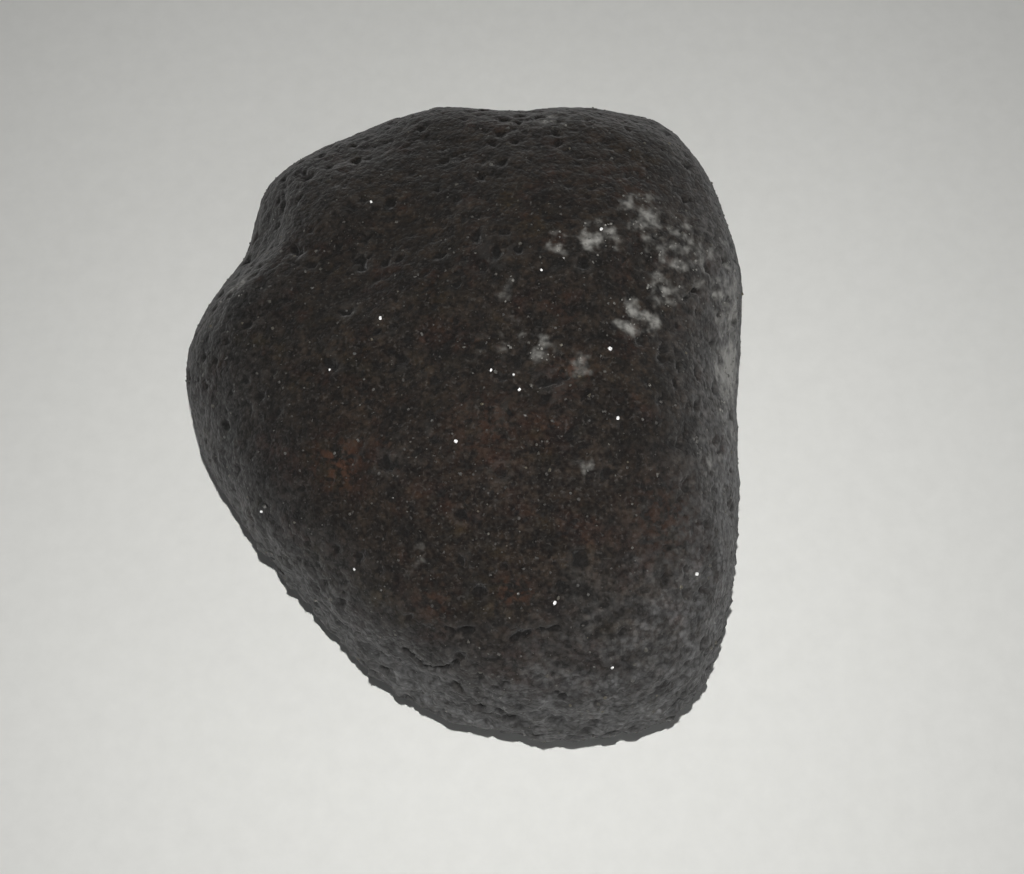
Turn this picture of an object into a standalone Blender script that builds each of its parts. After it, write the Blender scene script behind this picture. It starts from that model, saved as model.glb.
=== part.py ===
"""Lava rock: one water-worn stone of dark, finely porous lava, as a single closed solid.

Metres, +Z up. The stone lies on its flattest side: the small worn flat under its belly is at z = 0,
and the origin is at the middle of the plan, on that flat. +Y runs along the stone's length.
"""

import math

import bmesh
import bpy
from mathutils import Vector, noise

MM = 0.001

# Driving sizes of the stone, in metres.
LENGTH = 65 * MM
WIDTH = 56 * MM
HEIGHT = 30 * MM
RIM_HEIGHT = 13 * MM

# Plan outline at the rim: (direction in degrees from +X, reach in millimetres from the middle).
# The fit to the driving sizes comes after it, so the outline sets the shape and not the size.
PLAN = [
    (5, 28.5),  # shallow waist in the right-hand side
    (20, 32.0),
    (35, 34.5),
    (50, 35.5),  # shoulder at the upper right
    (65, 33.5),
    (80, 31.5),
    (105, 30.5),
    (120, 30.5),
    (132, 31.0),  # left end of the broad top
    (139, 29.5),
    (145, 27.5),  # notch above the left lobe
    (160, 28.5),  # left lobe
    (175, 27.5),
    (190, 25.5),
    (215, 24.0),  # long, nearly straight lower left
    (240, 23.5),
    (265, 26.5),
    (285, 30.0),
    (300, 33.5),
    (310, 34.5),  # long lower tip
    (320, 33.0),
    (345, 28.5),
]

# Section of the stone. An exponent of 1 is an ellipse, and a smaller one is fuller.
CROWN_FULLNESS = 0.85
BELLY_FULLNESS = 0.95
CROWN_SHIFT = Vector((4.5, -1.0, 0.0)) * MM
BELLY_SHIFT = Vector((1.0, 2.5, 0.0)) * MM
BASE_CUT = 0.9 * MM
CUT_MERGE = 0.0005 * MM

# Broad hollows worn into the surface: (x, y, z) in millimetres, radius and depth in millimetres.
HOLLOWS = [
    ((-21.0, 16.0, 22.0), 7.0, 1.5),
    ((27.0, 3.0, 22.0), 7.0, 0.9),
    ((-3.0, -27.0, 19.0), 7.0, 0.8),
    ((3.0, 33.0, 17.0), 6.5, 0.9),
    ((-8.0, 6.0, 31.0), 9.0, 0.7),
    ((18.0, -14.0, 28.0), 8.0, 0.6),
    ((-16.0, -14.0, 8.0), 9.0, 1.0),
    ((20.0, 20.0, 6.0), 9.0, 0.9),
]

# Uneven wear: (size of the lumps, height of the lumps), both in metres, from broad to fine.
LUMPS = [
    (17.0 * MM, 1.30 * MM),
    (7.5 * MM, 0.55 * MM),
    (3.6 * MM, 0.22 * MM),
]
LUMP_ORIGIN = Vector((3.7, 1.9, 8.2))
WEAR_FADE = 6 * MM

SPHERE_DIVISIONS = 5
SOFTENING = 0.5
EDGE_ANGLE = 50
ALONG_THE_AXIS = 1e-9

STONE_COLOUR = (0.036, 0.032, 0.029, 1.0)
STONE_ROUGHNESS = 0.92


def clear_scene():
    for old in list(bpy.data.objects):
        bpy.data.objects.remove(old, do_unlink=True)


def stone_material():
    material = bpy.data.materials.new("dark_lava")
    material.use_nodes = True
    shader = material.node_tree.nodes["Principled BSDF"]
    shader.inputs["Base Color"].default_value = STONE_COLOUR
    shader.inputs["Roughness"].default_value = STONE_ROUGHNESS
    shader.inputs["Metallic"].default_value = 0.0
    return material


def plan_reach(angle):
    """Reach of the plan outline in one direction, on a smooth closed curve through PLAN."""
    count = len(PLAN)
    turned = angle % 360
    if turned < PLAN[0][0]:
        turned += 360
    start = max(i for i in range(count) if PLAN[i][0] <= turned)

    def knot(i):
        return PLAN[i % count][0] + 360 * (i // count), PLAN[i % count][1]

    (a0, r0), (a1, r1), (a2, r2), (a3, r3) = (knot(start + step) for step in (-1, 0, 1, 2))
    span = a2 - a1
    t = (turned - a1) / span
    slope1 = (r2 - r0) / (a2 - a0) * span
    slope2 = (r3 - r1) / (a3 - a1) * span
    along = (2 * t**3 - 3 * t**2 + 1) * r1 + (t**3 - 2 * t**2 + t) * slope1
    along += (3 * t**2 - 2 * t**3) * r2 + (t**3 - t**2) * slope2
    return along * MM


def section_point(direction):
    """Where a direction from the middle of the rim meets the smooth, unworn body."""
    angle = math.degrees(math.atan2(direction.y, direction.x))
    out = math.hypot(direction.x, direction.y)
    up = abs(direction.z)
    crown = direction.z > 0
    fullness = CROWN_FULLNESS if crown else BELLY_FULLNESS
    depth = HEIGHT - RIM_HEIGHT if crown else RIM_HEIGHT
    flat = Vector((direction.x, direction.y, 0.0)).normalized() if out > ALONG_THE_AXIS else Vector()
    point = flat * plan_reach(angle) * out**fullness
    point.z = RIM_HEIGHT + math.copysign(depth * up**fullness, direction.z)
    shift = CROWN_SHIFT if crown else BELLY_SHIFT
    return point + shift * up**2


def wear(point, normal):
    """Move of one point off the smooth body. It fades out under the belly, which is worn even."""
    rise = 0.0
    for size, height in LUMPS:
        rise += height * noise.noise(point / size + LUMP_ORIGIN)
    for middle, radius, depth in HOLLOWS:
        away = (point - Vector(middle) * MM).length / (radius * MM)
        rise -= depth * MM * math.exp(-(away**2))
    return normal * rise * min(1.0, point.z / WEAR_FADE)


def flatten_base(body):
    """Cuts the worn resting flat across the underside and closes it with one face."""
    geometry = body.verts[:] + body.edges[:] + body.faces[:]
    bmesh.ops.bisect_plane(
        body,
        geom=geometry,
        dist=CUT_MERGE,
        plane_co=(0.0, 0.0, BASE_CUT),
        plane_no=(0.0, 0.0, -1.0),
        clear_outer=True,
    )
    rim = [edge for edge in body.edges if edge.is_boundary]
    bmesh.ops.contextual_create(body, geom=rim)


def fit_to_size(body):
    """Scales the body to the driving sizes and puts the middle of its base at the origin."""
    lows = [min(vert.co[axis] for vert in body.verts) for axis in range(3)]
    highs = [max(vert.co[axis] for vert in body.verts) for axis in range(3)]
    sides = (WIDTH, LENGTH, HEIGHT)
    factors = [side / (high - low) for side, high, low in zip(sides, highs, lows)]
    middle = Vector(((lows[0] + highs[0]) / 2, (lows[1] + highs[1]) / 2, lows[2]))
    bmesh.ops.translate(body, verts=body.verts, vec=-middle)
    bmesh.ops.scale(body, verts=body.verts, vec=factors)


def make_lava_rock():
    body = bmesh.new()
    bmesh.ops.create_icosphere(body, subdivisions=SPHERE_DIVISIONS, radius=1.0)
    for vert in body.verts:
        vert.co = section_point(vert.co.normalized())
    bmesh.ops.smooth_vert(
        body, verts=body.verts, factor=SOFTENING, use_axis_x=True, use_axis_y=True, use_axis_z=True
    )
    body.normal_update()
    moves = [wear(vert.co, vert.normal) for vert in body.verts]
    for vert, move in zip(body.verts, moves):
        vert.co += move
    flatten_base(body)
    fit_to_size(body)
    bmesh.ops.recalc_face_normals(body, faces=body.faces)
    mesh = bpy.data.meshes.new("lava_rock")
    body.to_mesh(mesh)
    body.free()
    mesh.shade_smooth()
    mesh.set_sharp_from_angle(angle=math.radians(EDGE_ANGLE))
    mesh.materials.append(stone_material())
    stone = bpy.data.objects.new("lava_rock", mesh)
    bpy.context.scene.collection.objects.link(stone)
    return stone


clear_scene()
make_lava_rock()
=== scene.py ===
"""Lava rock: a worn stone of dark, finely porous lava, lying on a pale surface.

The CAD stone gives the body and its broad form. The pores, grain, crevices, mineral dust and crystals
are worked into it here. Metres, +Z up, in the same frame as the CAD.
"""

import math
import random

import bmesh
import bpy
import numpy as np
from mathutils import Euler, Matrix, Vector
from mathutils.bvhtree import BVHTree


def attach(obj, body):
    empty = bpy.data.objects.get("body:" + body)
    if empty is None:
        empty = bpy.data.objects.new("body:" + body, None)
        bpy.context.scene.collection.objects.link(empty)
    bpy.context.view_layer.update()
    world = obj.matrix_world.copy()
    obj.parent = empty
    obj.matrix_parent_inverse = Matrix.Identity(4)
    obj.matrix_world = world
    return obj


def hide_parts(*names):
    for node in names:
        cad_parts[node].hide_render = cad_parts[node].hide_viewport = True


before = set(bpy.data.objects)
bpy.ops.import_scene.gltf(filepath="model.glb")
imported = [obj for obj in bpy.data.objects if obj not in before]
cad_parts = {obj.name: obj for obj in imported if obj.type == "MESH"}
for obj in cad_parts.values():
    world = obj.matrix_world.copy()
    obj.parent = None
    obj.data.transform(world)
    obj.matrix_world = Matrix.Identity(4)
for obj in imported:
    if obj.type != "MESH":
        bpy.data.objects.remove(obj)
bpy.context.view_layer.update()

MM = 0.001

# The body's mesh: the size of its even faces, and how many times it is smoothed.
BODY_FACE = 0.352 * MM
BODY_SMOOTHING = 4

# How the lava's skin is worked. A size is the width of one bump, and a height is from its foot to its top.
KNOBS = {"Size": 1.7 * MM, "Height": 0.42 * MM}
GRAIN = {"Size": 0.72 * MM, "Height": 0.22 * MM}

# The front rim is the least worn: the heights and the distances behind the middle that it fades out
# between, and how many times higher its knobs are.
FRONT_RIM = {
    "Rim Top": 14 * MM,
    "Crown Foot": 21 * MM,
    "Rim Back": -4 * MM,
    "Rim Front": -16 * MM,
    "Rim Knobs": 4.4,
}

# Open bubbles. Radii are shares of the cell that each bubble sits in, Share is the share of the cells
# that hold one, and Depth is how far it cuts in, as a share of its radius.
BUBBLES = {
    "Large": {"Cell": 5.2 * MM, "Smallest": 0.05, "Largest": 0.19, "Share": 0.45, "Depth": 0.75},
    "Small": {"Cell": 1.8 * MM, "Smallest": 0.12, "Largest": 0.34, "Share": 0.62, "Depth": 1.0},
}

# Ragged pits between the grains: their pitch, how much of the skin they take, and their depth.
PITS = {"Pitch": 1.05 * MM, "Cover": 0.41, "Depth": 0.19 * MM}
CREVICE_DEPTH = 0.75 * MM

# A point this many half widths from a crevice is clear of it, and a patch fades over this share of its
# radius.
FAR_FROM_CREVICE = 9.0
PATCH_SOFTNESS = 1.4

# Loose grains stay this far above the surface that the stone rests on, and sit in the skin by this
# share of the widest grain.
CLEAR_OF_REST = 2 * MM
GRAIN_SINKING = 0.12

# Heights in millimetres: the stone's widest level, and one well clear of it.
RIM = 13.0
CLEAR_OF_STONE = 90.0

# Features listed for the stone, in millimetres. Each place is an x and a y: the stone's own
# surface gives the height, on its crown or, in the lists called UNDER, on its belly.

# Short dark crevices and hollows: middle, heading in degrees from +X, length and width.
CREVICES = [
    ((-4.5, -26.0), -35, 2.0, 0.35),
    ((-2.5, -27.0), -10, 2.0, 0.35),
    ((-1.0, -27.0), 20, 1.5, 0.25),
    ((0.0, -24.5), 0, 1.5, 0.50),
    ((5.0, -25.0), 15, 1.5, 0.40),
    ((7.5, -24.5), 10, 1.5, 0.35),
    ((21.0, 6.5), 50, 2.0, 0.25),
    ((-0.5, -28.5), -30, 0.5, 0.40),
    ((1.5, -30.0), -20, 0.5, 0.45),
    ((4.0, -31.0), -15, 0.5, 0.50),
    ((8.5, -29.5), -20, 0.5, 0.40),
    ((-16.0, 11.5), -60, 1.0, 0.60),
    ((-12.0, -1.0), -35, 1.0, 0.55),
    ((-6.5, -10.5), -40, 1.0, 0.65),
    ((8.0, -3.5), 25, 2.0, 0.60),
    ((-9.5, 9.5), -80, 1.0, 0.55),
    ((1.0, 11.0), -80, 0.5, 0.60),
    ((3.0, 9.0), -80, 0.5, 0.45),
]

# Pale mineral dust: middle, radius and strength of each patch.
DUST = [
    ((12.0, 10.5), 1.5, 1.0),
    ((8.5, 10.0), 1.0, 0.8),
    ((17.0, 13.5), 2.0, 1.0),
    ((15.5, 15.0), 1.0, 0.9),
    ((18.5, 6.5), 1.5, 0.9),
    ((16.0, 3.0), 1.5, 1.0),
    ((14.5, 2.0), 1.0, 0.8),
    ((18.5, 10.0), 2.5, 0.6),
    ((6.5, -0.5), 1.5, 0.6),
    ((4.5, 0.5), 1.5, 0.6),
    ((10.5, -2.0), 1.5, 0.5),
    ((25.5, 2.5), 2.5, 1.7),
    ((24.5, 0.0), 2.0, 1.4),
    ((25.5, 7.5), 3.0, 1.0),
    ((25.0, 12.0), 2.5, 0.5),
    ((25.0, -4.0), 2.5, 0.7),
    ((22.5, -9.0), 2.0, 0.6),
    ((21.5, 11.0), 3.0, 0.7),
    ((-4.0, -18.5), 1.5, 0.4),
    ((11.0, -11.5), 1.0, 0.5),
    ((-22.0, 8.5), 1.5, 0.7),
    ((8.0, 26.5), 2.0, 0.6),
    ((3.5, 5.0), 1.5, 0.4),
]
DUST_UNDER = [
    ((-16.0, 22.0), 3.0, 0.6),
    ((2.0, -24.0), 3.5, 0.5),
]

# Rust stains, given in the same way.
RUST = [
    ((-11.0, -10.0), 1.5, 1.4),
    ((4.5, -21.5), 1.0, 1.2),
    ((10.0, -2.5), 1.0, 1.0),
    ((17.5, -15.5), 2.5, 0.5),
    ((-2.5, -22.0), 1.5, 0.5),
    ((2.0, -8.0), 2.5, 0.5),
    ((15.0, 17.5), 2.5, 0.4),
]
RUST_UNDER = [
    ((-20.0, -2.0), 3.0, 0.5),
    ((10.0, 26.0), 3.0, 0.5),
]

# The larger crystals: place and width.
CRYSTALS = [
    ((-7.5, 3.0), 0.40),
    ((12.5, 11.5), 0.40),
    ((13.0, -0.5), 0.45),
    ((13.5, -7.0), 0.45),
    ((2.5, -2.5), 0.35),
    ((-0.5, -9.0), 0.40),
    ((4.5, -3.0), 0.30),
    ((5.0, -4.5), 0.35),
    ((7.0, 7.0), 0.30),
    ((8.0, -22.5), 0.45),
    ((20.5, -19.5), 0.40),
    ((-9.5, -19.0), 0.30),
    ((-18.5, -13.0), 0.30),
    ((-12.0, -1.5), 0.30),
    ((13.0, -27.5), 0.35),
    ((-9.0, 16.0), 0.35),
]

# The way that the larger crystals' flat faces look, how far each may tip from it in degrees, and how
# wide its block and its cut corners are, as shares of its width.
CRYSTAL_FACE = Vector((0.0, -0.27, 0.96))
CRYSTAL_TIP = (2, 14)
CRYSTAL_BLOCK = 0.8
CRYSTAL_CORNER = 0.18

# The stone's colours, as linear red, green and blue.
DARK_GROUND = (0.0040, 0.0036, 0.0033, 1)
PALE_GROUND = (0.0165, 0.0152, 0.0143, 1)
# Near black, for painted shade in the pores, hollows and crevices.
HOLLOW_SHADE = (0.0035, 0.0032, 0.0030, 1)
PALE_GRAIN = (0.078, 0.074, 0.069, 1)
# Paler grey of the flanks: partly dust, partly painted light.
FLANK_DUST_AND_RIM_LIGHT = (0.130, 0.131, 0.133, 1)
RUST_BROWN = (0.045, 0.019, 0.010, 1)
POWDER = (0.30, 0.296, 0.278, 1)


class Bench:
    """A node tree, with short calls for the nodes that this script uses."""

    def __init__(self, tree):
        self.tree = tree

    def add(self, kind, inputs=None, **settings):
        made = self.tree.nodes.new(kind)
        for name, value in settings.items():
            setattr(made, name, value)
        for name, value in (inputs or {}).items():
            self.feed(made.inputs[name], value)
        return made

    def feed(self, socket, value):
        if isinstance(value, bpy.types.NodeSocket):
            self.tree.links.new(value, socket)
        else:
            socket.default_value = value

    def math(self, operation, *values, clamp=False):
        made = self.add("ShaderNodeMath", operation=operation, use_clamp=clamp)
        for socket, value in zip(made.inputs, values):
            self.feed(socket, value)
        return made.outputs[0]

    def vector(self, operation, *values):
        made = self.add("ShaderNodeVectorMath", operation=operation)
        for socket, value in zip(made.inputs, values):
            self.feed(socket, value)
        wanted = "Value" if operation in ("LENGTH", "DISTANCE", "DOT_PRODUCT") else "Vector"
        return made.outputs[wanted]

    def scaled(self, vector, factor):
        made = self.add("ShaderNodeVectorMath", {"Scale": factor}, operation="SCALE")
        self.feed(made.inputs[0], vector)
        return made.outputs["Vector"]

    def between(self, value, low, high, first=0.0, last=1.0):
        """A smooth step from first to last as value goes from low to high."""
        made = self.add("ShaderNodeMapRange", interpolation_type="SMOOTHSTEP")
        for socket, number in zip(made.inputs, (value, low, high, first, last)):
            self.feed(socket, number)
        return made.outputs["Result"]

    def noise(self, place, size, detail=2.0, roughness=0.5):
        scale = self.math("DIVIDE", 1.0, size)
        return self.add(
            "ShaderNodeTexNoise",
            {"Vector": place, "Scale": scale, "Detail": detail, "Roughness": roughness},
        )

    def mix(self, share, first, second, blend="MIX"):
        made = self.add("ShaderNodeMix", data_type="RGBA", blend_type=blend)
        for index, value in zip((0, 6, 7), (share, first, second)):
            self.feed(made.inputs[index], value)
        return made.outputs[2]


def link(obj):
    bpy.context.scene.collection.objects.link(obj)
    return obj


def plain(obj, name):
    """obj with its modifiers worked into a plain mesh, as a new object."""
    bpy.context.view_layer.update()
    graph = bpy.context.evaluated_depsgraph_get()
    mesh = bpy.data.meshes.new_from_object(obj.evaluated_get(graph), depsgraph=graph)
    bpy.data.objects.remove(obj, do_unlink=True)
    mesh.name = name
    return link(bpy.data.objects.new(name, mesh))


# ---------------------------------------------------------------- the stone's body

def even_body():
    """A copy of the CAD stone in small even faces, its flat facets smoothed away."""
    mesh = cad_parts["lava_rock"].data.copy()
    merged = bmesh.new()
    merged.from_mesh(mesh)
    bmesh.ops.remove_doubles(merged, verts=merged.verts, dist=0.001 * MM)
    merged.to_mesh(mesh)
    merged.free()
    mesh.materials.clear()
    body = link(bpy.data.objects.new("even_body", mesh))
    even = body.modifiers.new("even faces", "REMESH")
    even.mode = "VOXEL"
    even.voxel_size = BODY_FACE
    even.use_smooth_shade = True
    smooth = body.modifiers.new("soft facets", "SMOOTH")
    smooth.factor = 0.5
    smooth.iterations = BODY_SMOOTHING
    return plain(body, "even_body")


def surface_points(mesh):
    points = np.empty(len(mesh.vertices) * 3, np.float32)
    mesh.vertices.foreach_get("co", points)
    return points.reshape(-1, 3).astype(float)


def write_attribute(mesh, name, values):
    attribute = mesh.attributes.new(name, "FLOAT", "POINT")
    attribute.data.foreach_set("value", values.astype(np.float32))


def skin_of(mesh):
    return BVHTree.FromPolygons(
        [vert.co for vert in mesh.vertices], [face.vertices for face in mesh.polygons]
    )


def on_stone(skin, place, under=False):
    """The point of the stone above or below a place in its plan, or the nearest one beside it."""
    start = Vector((*place, -CLEAR_OF_STONE if under else CLEAR_OF_STONE)) * MM
    met = skin.ray_cast(start, Vector((0.0, 0.0, 1.0 if under else -1.0)))[0]
    return met or skin.find_nearest(Vector((*place, RIM)) * MM)[0]


def mark_patches(mesh, name, crown, belly):
    """Stores how strongly each point lies in one of the patches, from 0 to 1 or so."""
    points = surface_points(mesh)
    skin = skin_of(mesh)
    strength = np.zeros(len(points))
    for patches, under in ((crown, False), (belly, True)):
        for place, radius, strongest in patches:
            middle = np.array(on_stone(skin, place, under))
            away = np.linalg.norm(points - middle, axis=1) / (radius * MM)
            strength = np.maximum(strength, strongest * np.exp(-((away / PATCH_SOFTNESS) ** 2)))
    write_attribute(mesh, name, strength)


def mark_crevices(mesh):
    """Stores how far each point lies from the nearest crevice, in half widths of that crevice."""
    points = surface_points(mesh)
    skin = skin_of(mesh)
    nearest = np.full(len(points), FAR_FROM_CREVICE)
    for (x, y), heading, length, width in CREVICES:
        along = 0.5 * length * math.cos(math.radians(heading))
        across = 0.5 * length * math.sin(math.radians(heading))
        route = [(x - along, y - across), (x, y), (x + along, y + across)]
        laid = [np.array(on_stone(skin, place)) for place in route]
        for start, end in zip(laid, laid[1:]):
            run = end - start
            share = np.clip((points - start) @ run / (run @ run), 0.0, 1.0)
            away = np.linalg.norm(points - start - share[:, None] * run, axis=1)
            nearest = np.minimum(nearest, away / (0.5 * width * MM))
    write_attribute(mesh, "from_crevice", nearest)


def add_socket(tree, name, kind, default=None, output=False):
    socket = tree.interface.new_socket(name, in_out="OUTPUT" if output else "INPUT", socket_type=kind)
    if default is not None:
        socket.default_value = default
    return socket


def named(bench, name):
    """A number stored on each point of the mesh under that name."""
    kept = bench.add("GeometryNodeInputNamedAttribute", {"Name": name}, data_type="FLOAT")
    return kept.outputs["Attribute"]


def work_in(obj, name, tree, settings):
    """Adds a Geometry Nodes modifier and sets each of its inputs by the socket's identifier."""
    modifier = obj.modifiers.new(name, "NODES")
    modifier.node_group = tree
    for socket in tree.interface.items_tree:
        if socket.in_out == "INPUT" and socket.name in settings:
            modifier[socket.identifier] = settings[socket.name]


def centred(bench, value):
    """value with its middle moved from a half to nothing."""
    return bench.math("SUBTRACT", value, 0.5)


def bubble_cut(bench, sizes, place):
    """Depth, in metres, that one size of open bubble cuts below the surface."""
    cells = bench.add(
        "ShaderNodeTexVoronoi",
        {"Vector": place, "Scale": bench.math("DIVIDE", 1.0, sizes["Cell"])},
    )
    chance = bench.add("FunctionNodeSeparateColor", {"Color": cells.outputs["Color"]})
    spread = bench.math("SUBTRACT", sizes["Largest"], sizes["Smallest"])
    radius = bench.math("MULTIPLY_ADD", chance.outputs["Red"], spread, sizes["Smallest"])
    away = cells.outputs["Distance"]
    chord = bench.math(
        "SUBTRACT", bench.math("MULTIPLY", radius, radius), bench.math("MULTIPLY", away, away)
    )
    hollow = bench.math("SQRT", bench.math("MAXIMUM", chord, 0.0))
    open_here = bench.math("LESS_THAN", chance.outputs["Green"], sizes["Share"])
    depth = bench.math("MULTIPLY", sizes["Depth"], sizes["Cell"])
    return bench.math("MULTIPLY", bench.math("MULTIPLY", hollow, open_here), depth)


def noise_drift(bench, place, size, reach):
    """A vector that wanders smoothly, by up to about reach each way."""
    wander = bench.vector("SUBTRACT", bench.noise(place, size).outputs["Color"], (0.5, 0.5, 0.5))
    return bench.scaled(wander, 2 * reach)


def lava_tree(material, settings):
    """Geometry Nodes that work knobs, grain, open bubbles, pits and crevices into the even body."""
    tree = bpy.data.node_groups.new("worked lava skin", "GeometryNodeTree")
    bench = Bench(tree)
    add_socket(tree, "Geometry", "NodeSocketGeometry", output=True)
    add_socket(tree, "Geometry", "NodeSocketGeometry")
    for name, value in settings.items():
        add_socket(tree, name, "NodeSocketFloat", value)
    given = bench.add("NodeGroupInput").outputs

    place = bench.add("GeometryNodeInputPosition").outputs["Position"]
    outward = bench.add("GeometryNodeInputNormal").outputs["Normal"]
    ragged = bench.vector("ADD", place, noise_drift(bench, place, 1.4 * MM, 0.55 * MM))
    ragged = bench.vector("ADD", ragged, noise_drift(bench, place, 0.6 * MM, 0.28 * MM))

    cut = 0.0
    for size in BUBBLES:
        sizes = {name: given[f"{size} Bubble {name}"] for name in BUBBLES[size]}
        cut = bench.math("MAXIMUM", cut, bubble_cut(bench, sizes, ragged))

    pitted = bench.noise(place, given["Pit Pitch"], 1.5, 0.55).outputs["Fac"]
    foot = bench.math("SUBTRACT", given["Pit Cover"], 0.11)
    pit = bench.between(pitted, given["Pit Cover"], foot)
    cut = bench.math("ADD", cut, bench.math("MULTIPLY", pit, given["Pit Depth"]))

    far = named(bench, "from_crevice")
    torn = centred(bench, bench.noise(place, 0.7 * MM, 2.0, 0.6).outputs["Fac"])
    torn_edge = bench.math("MULTIPLY_ADD", torn, 7.5, far)
    crack = bench.between(torn_edge, 1.8, 0.4)
    cut = bench.math("ADD", cut, bench.math("MULTIPLY", crack, given["Crevice Depth"]))

    # The knobs stand out most around the front rim and below it.
    parts = bench.add("ShaderNodeSeparateXYZ", {"Vector": place})
    low = bench.between(parts.outputs["Z"], given["Crown Foot"], given["Rim Top"])
    forward = bench.between(parts.outputs["Y"], given["Rim Back"], given["Rim Front"])
    rim = bench.math("MULTIPLY", low, forward)
    unworn = bench.math(
        "MULTIPLY_ADD", rim, bench.math("SUBTRACT", given["Rim Knobs"], 1.0), 1.0
    )
    knobs = centred(bench, bench.noise(place, given["Knob Size"], 2.0).outputs["Fac"])
    knobs = bench.math("MULTIPLY", knobs, unworn)
    grain = centred(bench, bench.noise(place, given["Grain Size"], 2.0, 0.55).outputs["Fac"])
    rise = bench.math(
        "ADD",
        bench.math("MULTIPLY", knobs, given["Knob Height"]),
        bench.math("MULTIPLY", grain, given["Grain Height"]),
    )
    move = bench.scaled(outward, bench.math("SUBTRACT", rise, cut))
    moved = bench.add("GeometryNodeSetPosition", {"Geometry": given["Geometry"], "Offset": move})

    # Nothing reaches below the surface that the stone rests on.
    standing = bench.add(
        "ShaderNodeCombineXYZ",
        {
            "X": parts.outputs["X"],
            "Y": parts.outputs["Y"],
            "Z": bench.math("MAXIMUM", parts.outputs["Z"], 0.0),
        },
    )
    rested = bench.add(
        "GeometryNodeSetPosition",
        {"Geometry": moved.outputs["Geometry"], "Position": standing.outputs["Vector"]},
    )

    # How far each point stands above or below its surroundings, in millimetres.
    around = bench.add(
        "GeometryNodeBlurAttribute", {"Value": place, "Iterations": 6}, data_type="FLOAT_VECTOR"
    )
    proud = bench.vector(
        "DOT_PRODUCT", bench.vector("SUBTRACT", place, around.outputs["Value"]), outward
    )
    kept = rested.outputs["Geometry"]
    for name, value in (("relief", bench.math("DIVIDE", proud, MM)), ("crevice", crack)):
        kept = bench.add(
            "GeometryNodeStoreNamedAttribute",
            {"Geometry": kept, "Name": name, "Value": value},
            data_type="FLOAT",
            domain="POINT",
        ).outputs["Geometry"]
    real = bench.add("GeometryNodeRealizeInstances", {"Geometry": kept})
    finish = bench.add(
        "GeometryNodeSetMaterial", {"Geometry": real.outputs["Geometry"], "Material": material}
    )
    result = bench.add("NodeGroupOutput")
    bench.feed(result.inputs["Geometry"], finish.outputs["Geometry"])
    return tree


def lava_settings():
    """The named inputs of the lava skin's tree."""
    settings = {
        f"{size} Bubble {name}": value
        for size, values in BUBBLES.items()
        for name, value in values.items()
    }
    for kind, values in (("Knob", KNOBS), ("Grain", GRAIN), ("Pit", PITS)):
        settings.update({f"{kind} {name}": value for name, value in values.items()})
    settings["Crevice Depth"] = CREVICE_DEPTH
    settings.update(FRONT_RIM)
    return settings


def lava_stone():
    body = even_body()
    mark_patches(body.data, "dust", DUST, DUST_UNDER)
    mark_patches(body.data, "rust", RUST, RUST_UNDER)
    mark_crevices(body.data)
    settings = lava_settings()
    work_in(body, "worked lava surface", lava_tree(lava_material(), settings), settings)
    stone = plain(body, "lava_stone")
    stone.data.shade_smooth()
    return stone


# ---------------------------------------------------------------- materials

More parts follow.
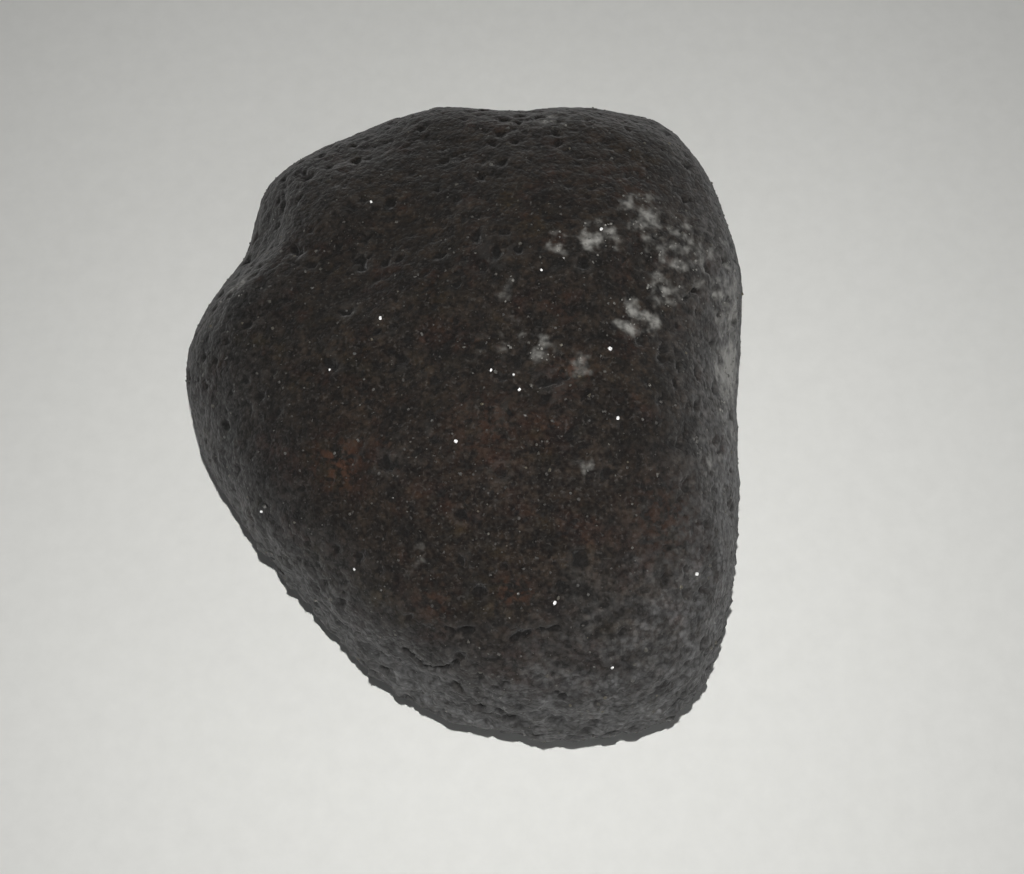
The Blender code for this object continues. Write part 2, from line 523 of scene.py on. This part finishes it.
def lava_material():
    """Charcoal lava: pale grains in a dark ground, browner on the crown, with rust and pale dust, painted
    shade in its hollows and painted light on its front and right flanks.
    """
    material = bpy.data.materials.new("dark porous lava")
    material.use_nodes = True
    bench = Bench(material.node_tree)
    shader = material.node_tree.nodes["Principled BSDF"]
    place = bench.add("ShaderNodeTexCoord").outputs["Object"]

    def marked(name):
        return bench.add("ShaderNodeAttribute", attribute_name=name).outputs["Fac"]

    def pattern(size, detail=2.0, roughness=0.5, shift=0.0):
        spot = bench.vector("ADD", place, (shift, shift, shift)) if shift else place
        return bench.noise(spot, size, detail, roughness).outputs["Fac"]

    fine = pattern(0.34 * MM, 2.0, 0.55)
    grain = pattern(0.62 * MM, 2.0, 0.55)
    coarse = pattern(1.3 * MM, 2.0, 0.6)
    broad = pattern(7.0 * MM, 2.0, 0.5)

    # The ground is near black, browner on the crown, with reddish and olive areas.
    parts = bench.add("ShaderNodeSeparateXYZ", {"Vector": place}).outputs
    leftward = bench.math("MINIMUM", parts["X"], 0.0)
    crown = bench.between(bench.math("MULTIPLY_ADD", leftward, 0.28, parts["Z"]), 14 * MM, 25 * MM)
    mottle = bench.math("MULTIPLY_ADD", bench.math("SUBTRACT", fine, 0.5), 0.5, coarse)
    ground = bench.mix(bench.between(mottle, 0.30, 0.70), DARK_GROUND, PALE_GROUND)
    brown = bench.math("MULTIPLY", crown, bench.between(broad, 0.25, 0.65, 0.75, 1.0))
    ground = bench.mix(brown, ground, (1.03, 0.74, 0.50, 1), blend="MULTIPLY")
    red = bench.between(pattern(4.0 * MM, 3.0, 0.6, 0.05), 0.52, 0.68)
    ground = bench.mix(bench.math("MULTIPLY", red, 0.8), ground, (1.12, 0.70, 0.62, 1), blend="MULTIPLY")
    olive = bench.between(pattern(5.0 * MM, 3.0, 0.6, 0.11), 0.54, 0.70)
    ground = bench.mix(bench.math("MULTIPLY", olive, 0.8), ground, (1.06, 1.0, 0.58, 1), blend="MULTIPLY")
    cool = bench.between(pattern(3.2 * MM, 3.0, 0.6, 0.17), 0.54, 0.68)
    ground = bench.mix(bench.math("MULTIPLY", cool, 0.7), ground, (0.84, 1.0, 1.05, 1), blend="MULTIPLY")

    # The flanks are greyed, most of all at the front and on the right: partly dust, partly painted light,
    # as if those flanks were lit more brightly.
    facing = bench.vector("DOT_PRODUCT", place, (0.6, -0.8, 0.0))
    front = bench.between(facing, -33 * MM, 20 * MM, 0.16, 1.0)
    depth = bench.math("MULTIPLY_ADD", facing, -0.13, parts["Z"])
    depth = bench.math("MULTIPLY_ADD", bench.math("ABSOLUTE", parts["X"]), -0.18, depth)
    depth = bench.math("MULTIPLY_ADD", bench.math("MAXIMUM", parts["X"], 0.0), -0.12, depth)
    flank = bench.math("MULTIPLY", bench.between(depth, 23.5 * MM, 9.5 * MM), front)
    drift = bench.between(pattern(2.4 * MM, 3.0, 0.6, 0.07), 0.3, 0.7, 0.5, 1.3)
    greyed = bench.math("MULTIPLY", flank, bench.between(grain, 0.35, 0.65, 0.25, 0.65))
    greyed = bench.math("MULTIPLY", greyed, drift)
    # Where the flanks are paler, the painted shade in the pores and hollows is eased.
    bare = bench.math("MULTIPLY_ADD", flank, -0.45, 1.0)
    ground = bench.mix(greyed, ground, FLANK_DUST_AND_RIM_LIGHT)

    # The lava is made of granules, each a little lighter or darker, with painted shade in the gaps between
    # them.
    nudged = bench.vector("ADD", place, noise_drift(bench, place, 0.5 * MM, 0.16 * MM))
    cells = bench.add("ShaderNodeTexVoronoi", {"Vector": nudged, "Scale": 1 / (0.52 * MM)})
    chance = bench.add("ShaderNodeSeparateColor", {"Color": cells.outputs["Color"]})
    gap = bench.between(cells.outputs["Distance"], 0.28, 0.72)
    tone = bench.between(chance.outputs["Red"], 0.0, 1.0, 0.80, 1.30)
    tone = bench.math("MULTIPLY", tone, bench.math("MULTIPLY_ADD", gap, -0.32, 1.0))
    cloud = bench.between(pattern(2.8 * MM, 3.0, 0.55, 0.13), 0.30, 0.70, 0.68, 1.36)
    tone = bench.math("MULTIPLY", tone, cloud)
    ground = bench.scaled(ground, tone)

    # Pores lie between small pale mineral grains, painted near black as shade in their hollows.
    pores = bench.between(grain, 0.47, 0.33)
    grained = bench.mix(bench.math("MULTIPLY", bench.math("MULTIPLY", pores, 0.40), bare), ground, HOLLOW_SHADE)
    speck = bench.math("MULTIPLY_ADD", grain, 0.3, pattern(0.32 * MM, 1.0, 0.5, 0.02))
    pale = bench.between(speck, 0.76, 0.87)
    grained = bench.mix(bench.math("MULTIPLY", pale, 0.26), grained, PALE_GRAIN)

    relief = marked("relief")
    # Sunken points are painted darker, as shade in their hollows, less so on the paler flanks.
    sunk = bench.between(relief, -0.01, -0.12)
    shaded = bench.mix(bench.math("MULTIPLY", bench.math("MULTIPLY", sunk, 0.80), bare), grained, HOLLOW_SHADE)
    worn = bench.between(relief, 0.02, 0.11)
    shaded = bench.mix(bench.math("MULTIPLY", worn, 0.13), shaded, PALE_GRAIN)
    # Crevices are painted near black, as shade.
    toned = bench.mix(marked("crevice"), shaded, HOLLOW_SHADE)

    stain = bench.math("MULTIPLY", marked("rust"), bench.between(pattern(0.9 * MM, 3.0, 0.6), 0.42, 0.62))
    stained = bench.mix(bench.math("MULTIPLY", stain, 0.8), toned, RUST_BROWN)

    # Powder lies in flecks, thickest in the middle of each dusty patch.
    dust = marked("dust")
    flecks = bench.math("ADD", pattern(1.2 * MM, 2.0, 0.45), bench.math("MULTIPLY", dust, 0.26))
    powder = bench.math("MULTIPLY", bench.between(flecks, 0.56, 0.98), bench.between(dust, 0.04, 0.6))
    crust = bench.math("MULTIPLY_ADD", dust, 0.10, grain)
    powder = bench.math("MULTIPLY", powder, bench.between(crust, 0.36, 0.66, 0.35, 0.85))
    coloured = bench.mix(powder, stained, POWDER)
    bench.feed(shader.inputs["Base Color"], coloured)

    bench.feed(shader.inputs["Roughness"], bench.between(fine, 0.35, 0.70, 0.95, 0.70))
    shader.inputs["Specular IOR Level"].default_value = 0.22
    shader.inputs["Sheen Weight"].default_value = 0.14
    shader.inputs["Sheen Roughness"].default_value = 0.55
    shader.inputs["Sheen Tint"].default_value = (0.86, 0.86, 0.86, 1)

    height = bench.math("MULTIPLY_ADD", pores, -0.5, grain)
    height = bench.math("MULTIPLY_ADD", gap, -0.9, height)
    height = bench.math("MULTIPLY_ADD", fine, 0.45, height)
    bump = bench.add("ShaderNodeBump", {"Height": height, "Strength": 0.5, "Distance": 0.09 * MM})
    bench.feed(shader.inputs["Normal"], bump.outputs["Normal"])
    return material


def crystal_material():
    """Small clear to honey-coloured crystals, some of them dull."""
    material = bpy.data.materials.new("bright crystal")
    material.use_nodes = True
    bench = Bench(material.node_tree)
    shader = material.node_tree.nodes["Principled BSDF"]
    place = bench.add("ShaderNodeTexCoord").outputs["Object"]
    tint = bench.between(bench.noise(place, 3.0 * MM, 1.0).outputs["Fac"], 0.40, 0.65)
    colour = bench.mix(tint, (0.085, 0.085, 0.082, 1), (0.085, 0.074, 0.050, 1))
    dull = bench.between(bench.noise(place, 1.7 * MM, 1.0).outputs["Fac"], 0.62, 0.45)
    colour = bench.mix(bench.math("MULTIPLY", dull, 0.8), colour, (0.075, 0.073, 0.068, 1))
    bench.feed(shader.inputs["Base Color"], colour)
    veins = bench.noise(place, 0.2 * MM, 2.0).outputs["Fac"]
    bench.feed(shader.inputs["Roughness"], bench.between(veins, 0.3, 0.7, 0.32, 0.60))
    shader.inputs["Specular IOR Level"].default_value = 0.42
    return material


def crumb_material():
    """Mineral crumbs: grey grains on the bare stone, and a chalky white crust where the dust lies."""
    material = bpy.data.materials.new("chalky mineral crumbs")
    material.use_nodes = True
    bench = Bench(material.node_tree)
    shader = material.node_tree.nodes["Principled BSDF"]
    place = bench.add("ShaderNodeTexCoord").outputs["Object"]
    mottle = bench.noise(place, 0.7 * MM, 3.0, 0.6).outputs["Fac"]
    mottled = bench.between(mottle, 0.35, 0.65)
    chalk = bench.mix(mottled, (0.09, 0.088, 0.083, 1), (0.22, 0.216, 0.20, 1))
    grey = bench.mix(mottled, (0.032, 0.030, 0.028, 1), (0.075, 0.072, 0.067, 1))
    dust = bench.add("ShaderNodeAttribute", attribute_name="dust").outputs["Fac"]
    colour = bench.mix(bench.between(dust, 0.08, 0.40), grey, chalk)
    bench.feed(shader.inputs["Base Color"], colour)
    bench.feed(shader.inputs["Roughness"], bench.between(mottle, 0.3, 0.7, 0.85, 0.98))
    return material


# ---------------------------------------------------------------- crystals and crumbs on the surface

def scatter_tree(name, material, settings):
    """Geometry Nodes that set small faceted grains into a surface, part sunk, in random turns."""
    tree = bpy.data.node_groups.new(name, "GeometryNodeTree")
    bench = Bench(tree)
    add_socket(tree, "Geometry", "NodeSocketGeometry", output=True)
    add_socket(tree, "Geometry", "NodeSocketGeometry")
    for label, value in settings.items():
        kind = "NodeSocketInt" if isinstance(value, int) else "NodeSocketFloat"
        add_socket(tree, label, kind, value)
    given = bench.add("NodeGroupInput").outputs
    dusty = bench.between(named(bench, "dust"), 0.15, 0.75)
    share = bench.math(
        "ADD", given["Bare Share"], bench.math("MULTIPLY", dusty, given["Dusty Share"])
    )
    shallow = bench.between(named(bench, "relief"), -0.16, -0.06)
    place = bench.add("GeometryNodeInputPosition").outputs["Position"]
    height = bench.add("ShaderNodeSeparateXYZ", {"Vector": place})
    clear = bench.math("GREATER_THAN", height.outputs["Z"], CLEAR_OF_REST)
    shallow = bench.math("MULTIPLY", shallow, clear)
    spots = bench.add(
        "GeometryNodeDistributePointsOnFaces",
        {
            "Mesh": given["Geometry"],
            "Distance Min": given["Spacing"],
            "Density Max": given["Density"],
            "Density Factor": bench.math("MULTIPLY", share, shallow, clamp=True),
            "Seed": given["Seed"],
        },
        distribute_method="POISSON",
    )
    sinking = bench.math("MULTIPLY", given["Largest"], -GRAIN_SINKING)
    sunk = bench.add(
        "GeometryNodeSetPosition",
        {
            "Geometry": spots.outputs["Points"],
            "Offset": bench.scaled(spots.outputs["Normal"], sinking),
        },
    )
    round_grain = bench.add("GeometryNodeMeshIcoSphere", {"Radius": 0.5, "Subdivisions": 1})
    block = bench.add("GeometryNodeMeshCube", {"Size": (0.9, 0.62, 0.48)})
    grains = bench.add("GeometryNodeGeometryToInstance")
    for shape in (round_grain, block):
        tree.links.new(shape.outputs["Mesh"], grains.inputs[0])
    turn = bench.add(
        "FunctionNodeRandomValue",
        {"Max": (math.tau,) * 3, "Seed": 11},
        data_type="FLOAT_VECTOR",
    )
    size = bench.add("FunctionNodeRandomValue", {"Seed": 12}, data_type="FLOAT")
    skewed = bench.math("POWER", size.outputs[1], given["Skew"])
    spread = bench.math("SUBTRACT", given["Largest"], given["Smallest"])
    across = bench.math("MULTIPLY_ADD", skewed, spread, given["Smallest"])
    squash = bench.add(
        "FunctionNodeRandomValue",
        {"Min": (0.7,) * 3, "Max": (1.25,) * 3, "Seed": 13},
        data_type="FLOAT_VECTOR",
    )
    placed = bench.add(
        "GeometryNodeInstanceOnPoints",
        {
            "Points": sunk.outputs["Geometry"],
            "Instance": grains.outputs["Instances"],
            "Pick Instance": True,
            "Rotation": turn.outputs[0],
            "Scale": bench.scaled(squash.outputs[0], across),
        },
    )
    real = bench.add("GeometryNodeRealizeInstances", {"Geometry": placed.outputs["Instances"]})
    flat = bench.add(
        "GeometryNodeSetShadeSmooth",
        {"Geometry": real.outputs["Geometry"], "Shade Smooth": False},
    )
    finish = bench.add(
        "GeometryNodeSetMaterial", {"Geometry": flat.outputs["Geometry"], "Material": material}
    )
    result = bench.add("NodeGroupOutput")
    bench.feed(result.inputs["Geometry"], finish.outputs["Geometry"])
    return tree


def scatter(stone, name, material, settings):
    bed = link(bpy.data.objects.new(name + "_bed", stone.data.copy()))
    work_in(bed, name, scatter_tree(name, material, settings), settings)
    return plain(bed, name)


def crystals(stone):
    """The larger crystals, set one by one with their flat faces turned up, among scattered small ones."""
    material = crystal_material()
    small = scatter(
        stone,
        "bright_crystals",
        material,
        {
            "Smallest": 0.14 * MM,
            "Largest": 0.44 * MM,
            "Skew": 2.2,
            "Spacing": 0.7 * MM,
            "Density": 220000.0,
            "Bare Share": 1.0,
            "Dusty Share": 0.0,
            "Seed": 5,
        },
    )
    skin = skin_of(stone.data)
    chance = random.Random(4)
    grown = bmesh.new()
    grown.from_mesh(small.data)
    upright = CRYSTAL_FACE.to_track_quat("Z", "Y").to_matrix().to_4x4()
    for place, width in CRYSTALS:
        spot = on_stone(skin, place)
        turn = Matrix.Rotation(chance.uniform(0, math.tau), 4, "Z")
        tilt = Matrix.Rotation(math.radians(chance.uniform(*CRYSTAL_TIP)), 4, "X")
        side = CRYSTAL_BLOCK * width * MM
        sizes = (side, side * chance.uniform(0.65, 0.95), side)
        shape = Matrix.Translation(spot) @ upright @ turn @ tilt @ Matrix.Diagonal((*sizes, 1.0))
        block = bmesh.ops.create_cube(grown, size=1.0, matrix=shape)["verts"]
        edges = list({edge for vert in block for edge in vert.link_edges})
        corner = CRYSTAL_CORNER * width * MM
        bmesh.ops.bevel(grown, geom=edges, offset=corner, segments=1, affect="EDGES")
    grown.to_mesh(small.data)
    grown.free()
    return small


def crumbs(stone):
    return scatter(
        stone,
        "mineral_crumbs",
        crumb_material(),
        {
            "Smallest": 0.10 * MM,
            "Largest": 0.34 * MM,
            "Skew": 1.3,
            "Spacing": 0.20 * MM,
            "Density": 5000000.0,
            "Bare Share": 0.08,
            "Dusty Share": 0.18,
            "Seed": 8,
        },
    )


# ---------------------------------------------------------------- floor, light and camera

# The camera looks down on the stone at a steep slant, close up.
VIEW_MIDDLE = Vector((4.35, -3.1, 13.0)) * MM
VIEW_ELEVATION = 71.0
VIEW_DISTANCE = 130 * MM
VIEW_LENS = 46.0

FLOOR_REACH = 0.52
FLOOR_CORNERS = 96

# The small bright lamp beside the camera: how far behind and above it, its width, power and colour.
KEY_BEHIND = 6 * MM
KEY_ABOVE = 10.5 * MM
KEY_WIDTH = 1.3 * MM
KEY_POWER = 0.186
KEY_COLOUR = (1.0, 0.99, 0.97)

# The soft lamps round the stone, all this far out and turned to this height over its middle: name,
# direction in degrees from +X, height, width and power.
STUDIO_REACH = 0.45
STUDIO_AIM = (0, 0, 0.01)
STUDIO = [
    ("right", -10, 0.20, 0.30, 0.23),
    ("back", 80, 0.20, 0.30, 0.06),
    ("left", 150, 0.20, 0.30, 0.03),
    ("front", 270, 0.20, 0.30, 0.15),
    ("low back left", 130, 0.075, 0.12, 0.05),
    ("low back right", 45, 0.075, 0.12, 0.035),
    ("low left", 195, 0.075, 0.12, 0.05),
]


def view_directions():
    """Unit vectors from the middle of the view: towards the camera, and up in the picture."""
    slant = math.radians(VIEW_ELEVATION)
    back = Vector((0.0, -math.cos(slant), math.sin(slant)))
    up = Vector((0.0, math.sin(slant), math.cos(slant)))
    return back, up


def make_camera():
    back = view_directions()[0]
    lens = bpy.data.cameras.new("close view")
    lens.lens = VIEW_LENS
    lens.sensor_width = 36.0
    lens.clip_start = 0.005
    lens.clip_end = 5.0
    camera = link(bpy.data.objects.new("close view", lens))
    camera.location = VIEW_MIDDLE + back * VIEW_DISTANCE
    camera.rotation_euler = Euler((math.radians(90 - VIEW_ELEVATION), 0.0, 0.0))
    bpy.context.scene.camera = camera


def make_floor():
    mesh = bpy.data.meshes.new("pale floor")
    corners = []
    for step in range(FLOOR_CORNERS):
        turn = math.tau * step / FLOOR_CORNERS
        corners.append((FLOOR_REACH * math.cos(turn), FLOOR_REACH * math.sin(turn), 0.0))
    mesh.from_pydata(corners, [], [tuple(range(FLOOR_CORNERS))])
    floor = link(bpy.data.objects.new("pale_floor", mesh))
    material = bpy.data.materials.new("pale paper")
    material.use_nodes = True
    bench = Bench(material.node_tree)
    shader = material.node_tree.nodes["Principled BSDF"]
    place = bench.add("ShaderNodeTexCoord").outputs["Object"]
    fibres = bench.noise(place, 2.2 * MM, 4.0, 0.6).outputs["Fac"]
    colour = bench.mix(fibres, (0.745, 0.75, 0.73, 1), (0.825, 0.83, 0.81, 1))
    bench.feed(shader.inputs["Base Color"], colour)
    shader.inputs["Roughness"].default_value = 0.9
    shader.inputs["Specular IOR Level"].default_value = 0.1
    mesh.materials.append(material)


def area_light(name, place, aim, size, power, colour=(1.0, 1.0, 1.0)):
    lamp = bpy.data.lights.new(name, "AREA")
    lamp.shape = "DISK"
    lamp.size = size
    lamp.energy = power
    lamp.color = colour
    light = link(bpy.data.objects.new(name, lamp))
    light.location = place
    light.rotation_mode = "QUATERNION"
    light.rotation_quaternion = (Vector(aim) - Vector(place)).to_track_quat("-Z", "Y")


def make_lights():
    back, up = view_directions()
    key = VIEW_MIDDLE + back * (VIEW_DISTANCE + KEY_BEHIND) + up * KEY_ABOVE
    area_light("key", key, VIEW_MIDDLE, KEY_WIDTH, KEY_POWER, KEY_COLOUR)
    for name, turn, height, size, power in STUDIO:
        around = Vector((math.cos(math.radians(turn)), math.sin(math.radians(turn)), 0.0))
        area_light(name, around * STUDIO_REACH + Vector((0, 0, height)), STUDIO_AIM, size, power)
    world = bpy.context.scene.world or bpy.data.worlds.new("studio")
    bpy.context.scene.world = world
    world.use_nodes = True
    # The surroundings glow softly near the horizon, and are dark overhead.
    bench = Bench(world.node_tree)
    surround = world.node_tree.nodes["Background"]
    surround.inputs["Color"].default_value = (0.95, 0.97, 1.0, 1)
    direction = bench.add("ShaderNodeTexCoord").outputs["Generated"]
    upward = bench.add("ShaderNodeSeparateXYZ", {"Vector": direction})
    steepness = bench.math("ABSOLUTE", upward.outputs["Z"])
    bench.feed(surround.inputs["Strength"], bench.between(steepness, 0.15, 0.55, 0.17, 0.008))


def show(piece):
    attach(piece, "root")


bpy.context.scene.view_settings.view_transform = "Standard"
make_camera()
stone = lava_stone()
bright = crystals(stone)
chalk = crumbs(stone)
show(stone)
show(bright)
show(chalk)
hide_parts("lava_rock")
make_floor()
make_lights()
